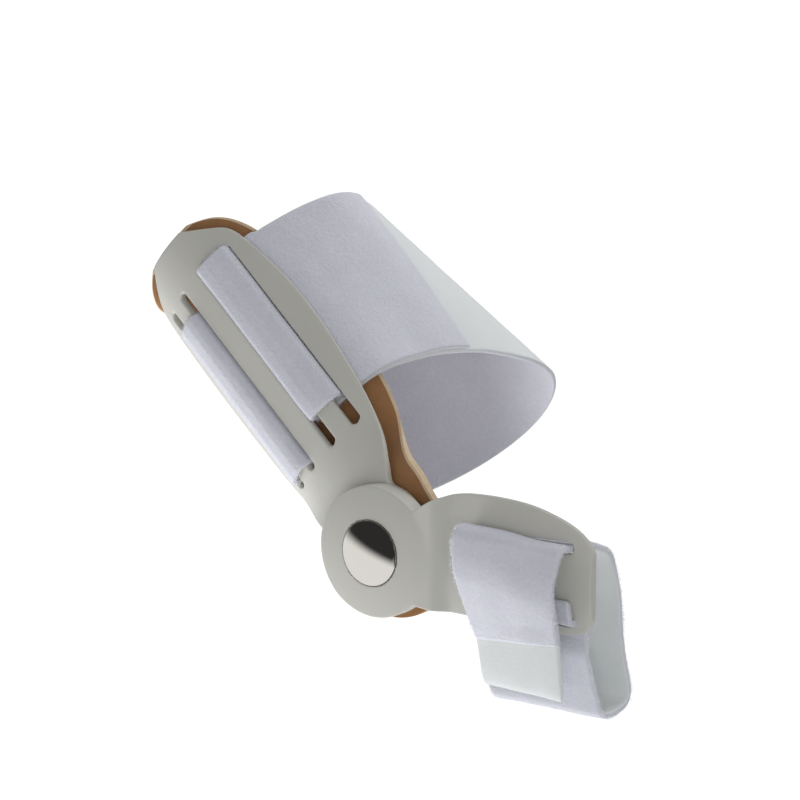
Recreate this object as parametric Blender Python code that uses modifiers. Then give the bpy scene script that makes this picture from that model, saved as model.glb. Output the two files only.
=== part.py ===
# Bunion corrector: a midfoot plate with pad and strap, and a toe plate with strap on a riveted hinge.
# Metres. The hinge pin lies on the Y axis, -Y is the outer side, +X runs to the toe, +Z is up.
# Y = 0 is the skin side of the pad at the hinge.

import math

import bmesh
import bpy
from mathutils import Matrix, Vector

# Clearances and cloth
FIT_GAP = 0.0003
STRAP_WALL = 0.0018
STRAP_BEND = 0.0015

# Midfoot plate, measured along its own axis from the hinge and along its curved outer face
HINGE_BEND = math.radians(43.0)
PLATE_LENGTH = 0.1136
PLATE_HALF_WIDTH = 0.0253
PLATE_WALL = 0.0030
PLATE_CAMBER = 0.0320
PLATE_OFFSET = 0.0015
LOBE_RADIUS = 0.0170
FLAT_END = 0.0110
CAMBER_LENGTH = 0.0200
SPINE_WIDTH = 0.0080
BAR_WIDTH = 0.0065
INNER_SLOT = 0.0030
OUTER_SLOT = 0.0035
SLOT_LENGTH = 0.0684
SLOT_START = 0.0322

# Pad
PAD_WALL = 0.0040
PAD_MARGIN = 0.0022
PAD_HALF_WIDTH = 0.0265
PAD_HINGE_RADIUS = 0.0206
PAD_RETURN = 0.6
PAD_HEAD_SHIFT = 0.0022

# Midfoot strap and the foot's section that it goes round
STRAP_WIDTH = 0.0580
STRAP_MIDDLE = 0.0712
FREE_END = math.radians(120.5)
FREE_END_SLANT = math.radians(-7.5)
SEWN_END = math.radians(75.0)
HEEL_SECTION = (0.0325, 0.0300, 0.0022)
BALL_SECTION = (0.0495, 0.0298, -0.0025)

# Hinge disc and rivet
DISC_RADIUS = 0.0188
DISC_WALL = 0.0077
DISC_FILLET = 0.0020
CAP_RADIUS = 0.0093
CAP_RISE = 0.0024
CAP_RIM_SHARE = 0.3
RECESS_DEPTH = 0.0012
PIN_RADIUS = 0.0029

# Toe plate arm
ARM_LENGTH = 0.0700
ARM_HALF_HEIGHT = 0.0200
ARM_WALL = 0.0030
ARM_RAIL = 0.0014
ARM_STEP = 0.0042
ARM_DISH = 0.0008
ARM_END_CURL = 0.0015
RAMP_START = 0.0190
RAMP_END = 0.0250
RAMP_TO_SLOT = 0.0058
SLOT_TO_TIP = 0.0040
TOE_SLOT = 0.0032
TOE_BAR_TOP = 0.0078
TOE_BAR_BOTTOM = -0.0090

# Toe strap
TOE_STRAP_WALL = 0.0015
TOE_STRAP_PLAY = 0.0027
TOE_STRAP_SHIFT = -0.0004
TOE_STRAP_LEAN = 0.0050
TOE_FOLD = 0.0050
TOE_LOOP_DROP = 0.0390
TOE_LOOP_DEPTH = 0.0290

# Levels along Y, from the pad outwards
LOBE_BACK = PAD_WALL + FIT_GAP
PLATE_FACE = LOBE_BACK + PLATE_WALL
DISC_BACK = PLATE_FACE + FIT_GAP
DISC_FACE = DISC_BACK + DISC_WALL
ARM_FACE = DISC_FACE - ARM_STEP
RECESS_FLOOR = DISC_FACE - RECESS_DEPTH
CAP_TOP = RECESS_FLOOR + FIT_GAP + CAP_RISE

# Depths below the plate's outer face, at the middle of each strap layer
OVER_BAR = FIT_GAP + STRAP_WALL / 2
UNDER_RAIL = -(PLATE_WALL + FIT_GAP + STRAP_WALL / 2)
ON_PAD = UNDER_RAIL - STRAP_WALL - FIT_GAP
PAD_DEPTH = PLATE_WALL + 2 * STRAP_WALL + 3 * FIT_GAP

# Places across the plate
BAR_IN = SPINE_WIDTH / 2 + INNER_SLOT
BAR_OUT = BAR_IN + BAR_WIDTH
RAIL_IN = BAR_OUT + OUTER_SLOT
SLOT_END = SLOT_START + SLOT_LENGTH

# Places along the toe plate
TOE_SLOT_START = RAMP_END + RAMP_TO_SLOT
TOE_SLOT_END = ARM_LENGTH - SLOT_TO_TIP
TOE_STRAP_WIDTH = TOE_SLOT_END - TOE_SLOT_START - TOE_STRAP_PLAY
TOE_STRAP_MIDDLE = (TOE_SLOT_START + TOE_SLOT_END) / 2 + TOE_STRAP_SHIFT

# Outlines: share of the length from the hinge, share of the half width
PLATE_OUTLINE = (
    (0.105, 0.54), (0.15, 0.62), (0.20, 0.73), (0.28, 0.83), (0.36, 0.90), (0.45, 0.95),
    (0.54, 0.985), (0.63, 1.00), (0.71, 0.985), (0.80, 0.93), (0.88, 0.86), (0.922, 0.79),
)
PLATE_HEAD_WIDTH = 0.29
PAD_OUTLINE = (
    (0.00, 0.777), (0.07, 0.79), (0.13, 0.77), (0.19, 0.765), (0.24, 0.80), (0.29, 0.87), (0.37, 0.95),
    (0.50, 1.00), (0.65, 1.00), (0.80, 0.96), (0.88, 0.89), (0.93, 0.79), (0.97, 0.62), (1.00, 0.36),
)
# Arm outline: share of the length, top and bottom as shares of the half height
ARM_OUTLINE = (
    (0.16, 0.55, -0.64), (0.21, 0.70, -0.67), (0.26, 0.82, -0.69), (0.30, 0.89, -0.70),
    (0.37, 0.965, -0.71), (0.46, 1.00, -0.715), (0.60, 1.00, -0.72), (0.735, 0.95, -0.725),
    (0.87, 0.81, -0.725), (0.94, 0.68, -0.70), (0.985, 0.53, -0.60), (1.00, 0.42, -0.47),
)
# Slant of the midfoot strap: angle round the foot in degrees, shift as a share of the strap's width
STRAP_SLANT = (
    (0, 0.0), (25, 0.0), (60, 0.01), (100, 0.0), (130, -0.055), (160, -0.16),
    (200, -0.22), (270, -0.19), (335, -0.13), (360, -0.13),
)
# Free loop of the toe strap, from under the plate round the toe and back up to the top slot:
# depth behind the arm's face as a share of the loop's depth and height as a share of its drop, for
# the near edge and then for the far edge, and corner radius as a share of its drop
TOE_LOOP = (
    (0.110, -0.487, 0.169, -0.500, 0.250),
    (0.110, -0.740, 0.240, -0.760, 0.500),
    (0.130, -0.925, 0.330, -0.975, 0.140),
    (0.420, -0.960, 0.500, -1.000, 0.750),
    (0.700, -0.940, 0.815, -0.985, 0.160),
    (0.700, -0.600, 0.775, -0.620, 0.750),
    (0.650, -0.103, 0.725, -0.103, 0.500),
    (0.620, 0.128, 0.690, 0.123, 0.190),
)
# Outer layer, from the top slot down the front to its cut end, in the same columns
TOE_FRONT = (
    (-0.258, 0.231, -0.120, 0.226, 0.090),
    (-0.272, 0.064, -0.307, -0.026, 0.500),
    (-0.072, -0.369, -0.279, -0.256, 0.500),
    (-0.005, -0.485, -0.272, -0.380, 0.500),
    (0.032, -0.840, -0.290, -0.775, 0.0),
)

PLATE_AXIS = Vector((-math.cos(HINGE_BEND), 0.0, math.sin(HINGE_BEND)))
PLATE_ACROSS = Vector((math.sin(HINGE_BEND), 0.0, math.cos(HINGE_BEND)))
OUTWARD = Vector((0.0, -1.0, 0.0))

PLASTIC = (0.66, 0.66, 0.60)
CLOTH = (0.86, 0.86, 0.90)
FREE_STATIONS = 12
ARC_STEPS = 4
CAP_RINGS = 5


def start_empty():
    for old in list(bpy.data.objects):
        bpy.data.objects.remove(old, do_unlink=True)
    parts = bpy.data.collections.new("bunion_corrector")
    cutters = bpy.data.collections.new("cutters")
    bpy.context.scene.collection.children.link(parts)
    bpy.context.scene.collection.children.link(cutters)
    return parts, cutters


def material(name, color, roughness, metallic=0.0):
    made = bpy.data.materials.new(name)
    made.use_nodes = True
    shader = made.node_tree.nodes["Principled BSDF"]
    shader.inputs["Base Color"].default_value = (*color, 1.0)
    shader.inputs["Roughness"].default_value = roughness
    shader.inputs["Metallic"].default_value = metallic
    made.diffuse_color = (*color, 1.0)
    return made


def smooth_step(value, start, length):
    share = min(max((value - start) / length, 0.0), 1.0)
    return share * share * (3.0 - 2.0 * share)


def along(table, x, column=1):
    """Read a table at x on a smooth curve through its rows."""
    if x <= table[0][0]:
        return table[0][column]
    if x >= table[-1][0]:
        return table[-1][column]
    i = max(k for k in range(len(table) - 1) if table[k][0] <= x)

    def slope(k):
        low, high = max(k - 1, 0), min(k + 1, len(table) - 1)
        return (table[high][column] - table[low][column]) / (table[high][0] - table[low][0])

    width = table[i + 1][0] - table[i][0]
    t = (x - table[i][0]) / width
    rise = table[i + 1][column] - table[i][column]
    a = slope(i) * width - rise
    b = rise - slope(i + 1) * width
    return table[i][column] + t * rise + t * (1 - t) * (a * (1 - t) + b * t)


def stations(*stops):
    """Evenly spaced values between each pair of stops, given as start, count, stop, count, stop."""
    values = [stops[0]]
    for count, stop in zip(stops[1::2], stops[2::2]):
        start = values[-1]
        values += [start + (stop - start) * (k + 1) / count for k in range(count)]
    return values


def fillet(corners, steps):
    """Round each inner corner (y, z, radius) of a polyline with an arc of the given number of steps."""
    points = [Vector(corners[0][:2])]
    for before, corner, after in zip(corners, corners[1:], corners[2:]):
        here, radius = Vector(corner[:2]), corner[2]
        back = Vector(before[:2]) - here
        ahead = Vector(after[:2]) - here
        half = back.angle(ahead) / 2
        reach = min(radius / math.tan(half), back.length * 0.49, ahead.length * 0.49)
        centre = here + (back.normalized() + ahead.normalized()).normalized() * reach / math.cos(half)
        first = here + back.normalized() * reach - centre
        last = here + ahead.normalized() * reach - centre
        turn = first.angle_signed(last)
        for k in range(steps + 1):
            points.append(centre + Matrix.Rotation(-turn * k / steps, 2) @ first)
    points.append(Vector(corners[-1][:2]))
    return points


def grid(columns, rows, holes=()):
    """A flat grid whose lines stand at the given columns (x) and rows (y), with holes left out."""
    bm = bmesh.new()
    bmesh.ops.create_grid(bm, x_segments=len(columns) - 1, y_segments=len(rows) - 1, size=1.0)
    for vert in bm.verts:
        i = round((vert.co.x + 1) / 2 * (len(columns) - 1))
        j = round((vert.co.y + 1) / 2 * (len(rows) - 1))
        vert.co = (columns[i], rows[j], 0.0)
    out = []
    for face in bm.faces:
        middle = face.calc_center_median()
        if any(a < middle.x < b and c < middle.y < d for a, b, c, d in holes):
            out.append(face)
    bmesh.ops.delete(bm, geom=out, context="FACES")
    return bm


def finish_object(name, bm, collection, finish):
    bmesh.ops.recalc_face_normals(bm, faces=bm.faces)
    mesh = bpy.data.meshes.new(name)
    bm.to_mesh(mesh)
    bm.free()
    mesh.materials.append(finish)
    mesh.shade_smooth()
    mesh.set_sharp_from_angle(angle=math.radians(40.0))
    made = bpy.data.objects.new(name, mesh)
    collection.objects.link(made)
    return made


def slab(name, bm, place, collection, finish):
    """Thicken a flat grid and place it: place(x, y, side) with side 0 outside and 1 inside."""
    flat = list(bm.faces)
    made = bmesh.ops.extrude_face_region(bm, geom=flat)
    for part in made["geom"]:
        if isinstance(part, bmesh.types.BMVert):
            part.co.z = 1.0
    for vert in bm.verts:
        vert.co = place(*vert.co)
    return finish_object(name, bm, collection, finish)


def thicken(made, wall):
    solid = made.modifiers.new("Cloth wall", "SOLIDIFY")
    solid.thickness = wall
    solid.offset = 0.0
    solid.use_even_offset = True
    return made


def cylinder_cutter(name, radius, depth, place, collection):
    bm = bmesh.new()
    bmesh.ops.create_cone(bm, cap_ends=True, segments=32, radius1=radius, radius2=radius, depth=depth)
    mesh = bpy.data.meshes.new(name)
    bm.to_mesh(mesh)
    bm.free()
    cutter = bpy.data.objects.new(name, mesh)
    cutter.rotation_euler = (math.pi / 2, 0.0, 0.0)
    cutter.location = place
    cutter.hide_render = True
    cutter.display_type = "WIRE"
    collection.objects.link(cutter)
    return cutter


def turned(name, profile, steps, collection, finish):
    """Turn a closed profile of (radius, distance outwards) points round the hinge pin."""
    mesh = bpy.data.meshes.new(name)
    bm = bmesh.new()
    verts = [bm.verts.new((radius, -out, 0.0)) for radius, out in profile]
    for first, second in zip(verts, verts[1:]):
        bm.edges.new((first, second))
    bm.to_mesh(mesh)
    bm.free()
    mesh.materials.append(finish)
    made = bpy.data.objects.new(name, mesh)
    collection.objects.link(made)
    screw = made.modifiers.new("Turn", "SCREW")
    screw.axis = "Y"
    screw.steps = steps
    screw.render_steps = steps
    screw.use_merge_vertices = True
    screw.merge_threshold = 0.00001
    screw.use_normal_calculate = True
    screw.use_normal_flip = True
    return made


def boolean(made, other, operation):
    cut = made.modifiers.new(operation.title(), "BOOLEAN")
    cut.operation = operation
    cut.object = other
    cut.solver = "EXACT"
    return made


def camber(u):
    """Curvature across the plate: flat at the hinge, full along the slots."""
    return smooth_step(u, FLAT_END, CAMBER_LENGTH) / PLATE_CAMBER


def on_plate(u, s, depth):
    """A point u along the plate and s round its outer face, depth below that face."""
    bend = camber(u)
    base = OUTWARD * PLATE_FACE + PLATE_ACROSS * PLATE_OFFSET * smooth_step(u, 0.0, FLAT_END)
    if bend < 1e-6:
        return base + PLATE_AXIS * u + PLATE_ACROSS * s - OUTWARD * depth
    angle = s * bend
    across = math.sin(angle) * (1 / bend - depth)
    inward = (1 - math.cos(angle)) / bend + depth * math.cos(angle)
    return base + PLATE_AXIS * u + PLATE_ACROSS * across - OUTWARD * inward


def plate_half_width(u):
    share = u / PLATE_LENGTH
    if share <= PLATE_OUTLINE[0][0]:
        return math.sqrt(max(LOBE_RADIUS ** 2 - u ** 2, 0.0))
    if share <= PLATE_OUTLINE[-1][0]:
        return PLATE_HALF_WIDTH * along(PLATE_OUTLINE, share)
    corner, corner_width = PLATE_OUTLINE[-1]
    fall = (share - corner) / (1 - corner)
    return PLATE_HALF_WIDTH * (corner_width + (PLATE_HEAD_WIDTH - corner_width) * fall)


def draw_in(s, rail, width):
    """Move a line across the plate so that the rail starts at rail and ends at width."""
    if abs(s) <= RAIL_IN:
        return s * rail / RAIL_IN
    rest = (abs(s) - RAIL_IN) / (PLATE_HALF_WIDTH - RAIL_IN)
    return math.copysign(rail + rest * (width - rail), s)


def lobe_stations(radius, count):
    """Stations round the hinge end, from a short flat tip to the hinge axis."""
    start, stop = math.radians(14.0), math.radians(90.0)
    return [-radius * math.cos(start + (stop - start) * k / count) for k in range(count + 1)]


def midfoot_plate(parts, cutters):
    finish = material("plate_plastic", PLASTIC, 0.42)
    shoulder = PLATE_OUTLINE[0][0] * PLATE_LENGTH
    corner = PLATE_OUTLINE[-1][0] * PLATE_LENGTH
    along_plate = lobe_stations(LOBE_RADIUS, 6) + stations(
        0.0, 3, shoulder, 5, SLOT_START, 12, SLOT_END, 1, corner, 3, PLATE_LENGTH)[1:]
    across = stations(0.0, 1, SPINE_WIDTH / 2, 1, BAR_IN, 2, BAR_OUT, 1, RAIL_IN, 3, PLATE_HALF_WIDTH)
    lines = [-value for value in reversed(across[1:])] + across
    holes = []
    for side in (1, -1):
        for edges in ((SPINE_WIDTH / 2, BAR_IN), (BAR_OUT, RAIL_IN)):
            low, high = sorted(side * edge for edge in edges)
            holes.append((SLOT_START, SLOT_END, low, high))

    def place(u, s, side):
        width = plate_half_width(u)
        if SLOT_START <= u <= SLOT_END:
            s = draw_in(s, RAIL_IN, width)
        else:
            s = draw_in(s, min(RAIL_IN, width * RAIL_IN / PLATE_HALF_WIDTH), width)
        return on_plate(u, s, side * PLATE_WALL)

    made = slab("midfoot_plate", grid(along_plate, lines, holes), place, parts, finish)
    bore = cylinder_cutter("lobe_bore", PIN_RADIUS + FIT_GAP, 4 * PLATE_WALL,
                           OUTWARD * (PLATE_FACE - PLATE_WALL / 2), cutters)
    return boolean(made, bore, "DIFFERENCE")


def midfoot_pad(parts):
    finish = material("pad_foam", (0.55, 0.36, 0.20), 0.9)
    length = PLATE_LENGTH + PAD_MARGIN
    along_pad = lobe_stations(PAD_HINGE_RADIUS, 6) + stations(
        0.0, 6, SLOT_START, 8, SLOT_END, 6, length)[1:]
    lines = stations(-1.0, 12, 1.0)

    def place(u, share, side):
        at_head = smooth_step(u, SLOT_END, PLATE_LENGTH - SLOT_END)
        room = smooth_step(u, FLAT_END, CAMBER_LENGTH) - PAD_RETURN * at_head
        depth = PLATE_WALL + FIT_GAP + (PAD_DEPTH - PLATE_WALL - FIT_GAP) * room
        if u < 0:
            width = math.sqrt(PAD_HINGE_RADIUS ** 2 - u ** 2)
        else:
            width = PAD_HALF_WIDTH * along(PAD_OUTLINE, u / length)
        at_depth = 1 / (1 - depth * camber(u))
        s = share * width - PAD_HEAD_SHIFT * smooth_step(u, SLOT_START, SLOT_LENGTH)
        return on_plate(u, s * at_depth, depth + side * PAD_WALL)

    return slab("midfoot_pad", grid(along_pad, lines), place, parts, finish)


def foot_radius(angle, u):
    """Distance of the strap's skin side from the camber's centre, round the foot."""
    t = 0.5 + (STRAP_MIDDLE - u) / STRAP_WIDTH
    deep, high, lift = (a + (b - a) * t for a, b in zip(HEEL_SECTION, BALL_SECTION))
    inner = PLATE_CAMBER - PAD_DEPTH
    shift = deep - inner
    cos, sin = math.cos(angle), math.sin(angle)
    qa = (cos / deep) ** 2 + (sin / high) ** 2
    qb = 2 * (shift * cos / deep ** 2 - lift * sin / high ** 2)
    qc = (shift / deep) ** 2 + (lift / high) ** 2 - 1
    oval = (-qb + math.sqrt(qb * qb - 4 * qa * qc)) / (2 * qa)
    away = min(angle, 2 * math.pi - angle)
    blend = smooth_step(away, math.radians(50.0), math.radians(60.0))
    return inner + (oval - inner) * blend


def strap_route():
    """The midfoot strap's path as (angle round the foot, height above the plate's outer face)."""
    outer = BAR_OUT + OUTER_SLOT / 2
    inner = BAR_IN - INNER_SLOT / 2
    rail = PLATE_HALF_WIDTH / PLATE_CAMBER
    tuck = fillet([(RAIL_IN + STRAP_BEND, UNDER_RAIL, 0), (outer, UNDER_RAIL, STRAP_BEND),
                   (outer, OVER_BAR, STRAP_BEND), (inner, OVER_BAR, STRAP_BEND),
                   (inner, ON_PAD, STRAP_BEND), (BAR_OUT, ON_PAD, 0)], ARC_STEPS)
    tuck = [(point.x / PLATE_CAMBER, point.y) for point in tuck]
    free = [(angle, UNDER_RAIL) for angle in stations(FREE_END, FREE_STATIONS, rail, 3, tuck[0][0])[:-1]]
    turn = 2 * math.pi
    side = tuck[-1][0]
    around = [(angle, ON_PAD) for angle in stations(side, 6, rail, 48, turn - rail, 6, turn - side)[1:-1]]
    back = [(turn - angle, height) for angle, height in reversed(tuck)]
    sewn = [(turn - angle, UNDER_RAIL) for angle in stations(tuck[0][0], 3, rail, 5, SEWN_END)[1:]]
    return free + tuck + around + back + sewn


def midfoot_strap(parts):
    finish = material("strap_cloth", CLOTH, 0.85)
    route = strap_route()
    columns = list(range(len(route)))
    rows = stations(-0.5, 3, 0.5)

    bm = grid(columns, rows)
    for vert in bm.verts:
        angle, height = route[round(vert.co.x)]
        if height < 0.0 and vert.co.x < FREE_STATIONS:
            angle += FREE_END_SLANT * vert.co.y * (1 - vert.co.x / FREE_STATIONS)
        slant = along(STRAP_SLANT, math.degrees(angle))
        u = STRAP_MIDDLE + STRAP_WIDTH * (vert.co.y + slant)
        radius = foot_radius(angle, u) + PAD_DEPTH + height
        base = OUTWARD * (PLATE_FACE - PLATE_CAMBER) + PLATE_ACROSS * PLATE_OFFSET
        vert.co = (base + PLATE_AXIS * u + PLATE_ACROSS * radius * math.sin(angle)
                   + OUTWARD * radius * math.cos(angle))
    made = finish_object("midfoot_strap", bm, parts, finish)
    return thicken(made, STRAP_WALL)


def hinge_rivet(parts):
    finish = material("rivet_steel", (0.60, 0.56, 0.50), 0.12, 1.0)
    seat = RECESS_FLOOR + FIT_GAP
    rim = CAP_RISE * CAP_RIM_SHARE
    dome = CAP_RISE - rim
    profile = [(0.0, CAP_TOP)]
    for k in range(1, CAP_RINGS + 1):
        turn = k / CAP_RINGS * math.pi / 2
        profile.append((CAP_RADIUS * math.sin(turn), seat + rim + dome * math.cos(turn)))
    profile += [(CAP_RADIUS, seat), (PIN_RADIUS, seat), (PIN_RADIUS, LOBE_BACK), (0.0, LOBE_BACK)]
    return turned("hinge_rivet", profile, 40, parts, finish)


def arm_edges(x):
    share = x / ARM_LENGTH
    top = ARM_HALF_HEIGHT * along(ARM_OUTLINE, share, 1)
    bottom = ARM_HALF_HEIGHT * along(ARM_OUTLINE, share, 2)
    return top, bottom


def toe_plate(parts, cutters):
    finish = material("toe_plate_plastic", PLASTIC, 0.42)
    bore = PIN_RADIUS + FIT_GAP
    recess = CAP_RADIUS + FIT_GAP
    profile = [(bore, RECESS_FLOOR), (recess, RECESS_FLOOR), (recess, DISC_FACE)]
    for k in range(ARC_STEPS + 1):
        turn = k / ARC_STEPS * math.pi / 2
        profile.append((DISC_RADIUS - DISC_FILLET + DISC_FILLET * math.sin(turn),
                        DISC_FACE - DISC_FILLET + DISC_FILLET * math.cos(turn)))
    profile += [(DISC_RADIUS, DISC_BACK), (bore, DISC_BACK), (bore, RECESS_FLOOR)]
    disc = turned("toe_plate", profile, 48, parts, finish)

    start = ARM_OUTLINE[0][0] * ARM_LENGTH
    columns = stations(start, 3, RAMP_START, 4, RAMP_END, 1, TOE_SLOT_START, 10, TOE_SLOT_END, 3, ARM_LENGTH)
    upper = TOE_BAR_TOP + TOE_SLOT
    lower = TOE_BAR_BOTTOM - TOE_SLOT
    rows = list(range(9))

    def heights(x):
        top, bottom = arm_edges(x)
        above = min(1.0, (top - ARM_RAIL) / upper)
        below = min(1.0, (bottom + ARM_RAIL) / lower)
        stops = [bottom, lower * below, TOE_BAR_BOTTOM * below, TOE_BAR_TOP * above, upper * above, top]
        return stations(stops[0], 2, stops[1], 1, stops[2], 2, stops[3], 1, stops[4], 2, stops[5])

    def place(x, row, side):
        z = heights(x)[round(row)]
        top, bottom = arm_edges(x)
        edge = abs((2 * z - top - bottom) / (top - bottom))
        ramp = smooth_step(x, RAMP_START, RAMP_END - RAMP_START)
        root_face = DISC_FACE - FIT_GAP
        root_back = DISC_BACK + FIT_GAP
        curl = ARM_END_CURL * smooth_step(x, TOE_STRAP_MIDDLE, 2 * (ARM_LENGTH - TOE_STRAP_MIDDLE))
        dish = ARM_DISH * ramp * (1 - edge ** 4)
        face = root_face + (ARM_FACE - root_face) * ramp - curl - dish
        back = root_back + (ARM_FACE - ARM_WALL - root_back) * ramp - curl
        return Vector((x, -(face if side < 0.5 else back), z))

    holes = [(TOE_SLOT_START, TOE_SLOT_END, 2, 3), (TOE_SLOT_START, TOE_SLOT_END, 5, 6)]
    arm = slab("arm_form", grid(columns, rows, holes), place, cutters, finish)
    arm.hide_render = True
    arm.display_type = "WIRE"
    return boolean(disc, arm, "UNION")


def toe_strap_edges():
    """The toe strap's path in Y and Z along its near edge and its far edge, station by station."""
    half = TOE_STRAP_WALL / 2
    front = -(ARM_FACE + FIT_GAP + half)
    behind = -(ARM_FACE - ARM_WALL - ARM_END_CURL - FIT_GAP - half)
    low_slot = TOE_BAR_BOTTOM - TOE_SLOT / 2
    top_slot = TOE_BAR_TOP + TOE_SLOT / 2
    rail_bottom = ARM_HALF_HEIGHT * ARM_OUTLINE[6][2]
    bend = STRAP_BEND
    shared = [(front, low_slot + TOE_FOLD + bend, 0), (front, low_slot, bend), (behind, low_slot, bend),
              (behind, rail_bottom - bend, bend)]

    def read(table, column):
        return [(TOE_LOOP_DEPTH * row[column] - ARM_FACE, TOE_LOOP_DROP * row[column + 1],
                 TOE_LOOP_DROP * row[4]) for row in table]

    slot = [(behind + TOE_SLOT, top_slot, TOE_SLOT), (front, top_slot, TOE_SLOT)]
    return [fillet(shared + read(TOE_LOOP, column) + slot + read(TOE_FRONT, column), ARC_STEPS)
            for column in (0, 2)]


def toe_strap(parts):
    finish = material("toe_strap_cloth", CLOTH, 0.85)
    near, far = toe_strap_edges()
    bm = grid(list(range(len(near))), stations(0.0, 3, 1.0))
    for vert in bm.verts:
        share = vert.co.y
        point = near[round(vert.co.x)].lerp(far[round(vert.co.x)], share)
        lean = TOE_STRAP_LEAN * max(-point.y, 0.0) / TOE_LOOP_DROP
        x = TOE_STRAP_MIDDLE + TOE_STRAP_WIDTH * (share - 0.5) + lean
        vert.co = (x, point.x, point.y)
    made = finish_object("toe_strap", bm, parts, finish)
    return thicken(made, TOE_STRAP_WALL)


def main():
    parts, cutters = start_empty()
    midfoot_plate(parts, cutters)
    midfoot_pad(parts)
    midfoot_strap(parts)
    hinge_rivet(parts)
    hinge_axis = bpy.data.objects.new("toe_hinge_axis", None)
    parts.objects.link(hinge_axis)
    for moving in (toe_plate(parts, cutters), toe_strap(parts)):
        moving.parent = hinge_axis


main()
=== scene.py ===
from bisect import bisect_right
from math import asin, cos, degrees, hypot, pi, radians, sin, sqrt, tan
from random import Random

import bmesh
import bpy
from mathutils import Matrix, Vector, noise


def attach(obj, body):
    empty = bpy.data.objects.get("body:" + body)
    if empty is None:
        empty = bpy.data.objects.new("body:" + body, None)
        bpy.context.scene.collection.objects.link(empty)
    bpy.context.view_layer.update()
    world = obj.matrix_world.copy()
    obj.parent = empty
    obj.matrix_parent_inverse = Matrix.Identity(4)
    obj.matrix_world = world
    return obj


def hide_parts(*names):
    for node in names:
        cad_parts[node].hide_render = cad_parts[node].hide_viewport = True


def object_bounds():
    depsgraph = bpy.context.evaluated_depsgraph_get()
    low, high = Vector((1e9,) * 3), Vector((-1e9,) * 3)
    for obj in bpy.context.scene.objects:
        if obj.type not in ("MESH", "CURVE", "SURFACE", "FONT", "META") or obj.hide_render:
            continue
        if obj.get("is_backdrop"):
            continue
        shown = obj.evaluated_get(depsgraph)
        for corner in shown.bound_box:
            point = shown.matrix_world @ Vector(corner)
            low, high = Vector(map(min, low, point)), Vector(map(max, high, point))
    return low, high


# Bunion corrector: midfoot plate, pad and strap, and a toe plate with strap on a riveted hinge.
# Metres. The hinge pin lies on the Y axis, -Y is the outer side, +X runs to the toe, +Z is up.

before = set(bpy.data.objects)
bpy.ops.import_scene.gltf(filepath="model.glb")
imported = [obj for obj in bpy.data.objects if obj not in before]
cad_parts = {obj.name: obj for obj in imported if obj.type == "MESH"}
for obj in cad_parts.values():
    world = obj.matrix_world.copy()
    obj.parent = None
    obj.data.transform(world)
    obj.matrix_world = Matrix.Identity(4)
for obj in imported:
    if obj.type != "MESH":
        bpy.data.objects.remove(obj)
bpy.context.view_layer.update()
outward = Vector((0.0, -1.0, 0.0))
fitGap = 0.0003
tiny = 1e-6  # places closer than this are one

# levels outwards from the skin side of the pad at the hinge
levels = {"lobeBack": 0.0043, "plateFace": 0.0073, "discBack": 0.0076, "discFace": 0.0153,
          "armFace": 0.0111, "recessFloor": 0.0141, "capTop": 0.0168}


# small tools

def smoothStep(value, start, length):
    share = min(max((value - start) / length, 0.0), 1.0)
    return share * share * (3.0 - 2.0 * share)


def along(table, x, column=1):  # reads a table at x on a smooth curve through its rows
    if x <= table[0][0]:
        return table[0][column]
    if x >= table[-1][0]:
        return table[-1][column]
    i = max(k for k in range(len(table) - 1) if table[k][0] <= x)

    def slope(k):
        low, high = max(k - 1, 0), min(k + 1, len(table) - 1)
        return (table[high][column] - table[low][column]) / (table[high][0] - table[low][0])

    width = table[i + 1][0] - table[i][0]
    t = (x - table[i][0]) / width
    rise = table[i + 1][column] - table[i][column]
    a = slope(i) * width - rise
    b = rise - slope(i + 1) * width
    return table[i][column] + t * rise + t * (1 - t) * (a * (1 - t) + b * t)


def stations(*stops):  # start, count, stop, count, stop ...
    values = [stops[0]]
    for count, stop in zip(stops[1::2], stops[2::2]):
        start = values[-1]
        values += [start + (stop - start) * (k + 1) / count for k in range(count)]
    return values


def fillet(corners, steps):  # rounds the inner corners (y, z, radius) of a line
    points = [Vector(corners[0][:2])]
    for before, corner, after in zip(corners, corners[1:], corners[2:]):
        here, radius = Vector(corner[:2]), corner[2]
        back = Vector(before[:2]) - here
        ahead = Vector(after[:2]) - here
        half = back.angle(ahead) / 2
        reach = min(radius / tan(half), back.length * 0.49, ahead.length * 0.49)
        centre = here + (back.normalized() + ahead.normalized()).normalized() * reach / cos(half)
        first = here + back.normalized() * reach - centre
        last = here + ahead.normalized() * reach - centre
        turn = first.angle_signed(last)
        for k in range(steps + 1):
            points.append(centre + Matrix.Rotation(-turn * k / steps, 2) @ first)
    points.append(Vector(corners[-1][:2]))
    return points


def flatGrid(columns, rows, holes=()):  # a flat grid on the given lines, with the holes left out
    bm = bmesh.new()
    bmesh.ops.create_grid(bm, x_segments=len(columns) - 1, y_segments=len(rows) - 1, size=1.0)
    for vert in bm.verts:
        i = round((vert.co.x + 1) / 2 * (len(columns) - 1))
        j = round((vert.co.y + 1) / 2 * (len(rows) - 1))
        vert.co = (columns[i], rows[j], 0.0)
    out = []
    for face in bm.faces:
        middle = face.calc_center_median()
        if any(a < middle.x < b and c < middle.y < d for a, b, c, d in holes):
            out.append(face)
    bmesh.ops.delete(bm, geom=out, context="FACES")
    return bm


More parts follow.
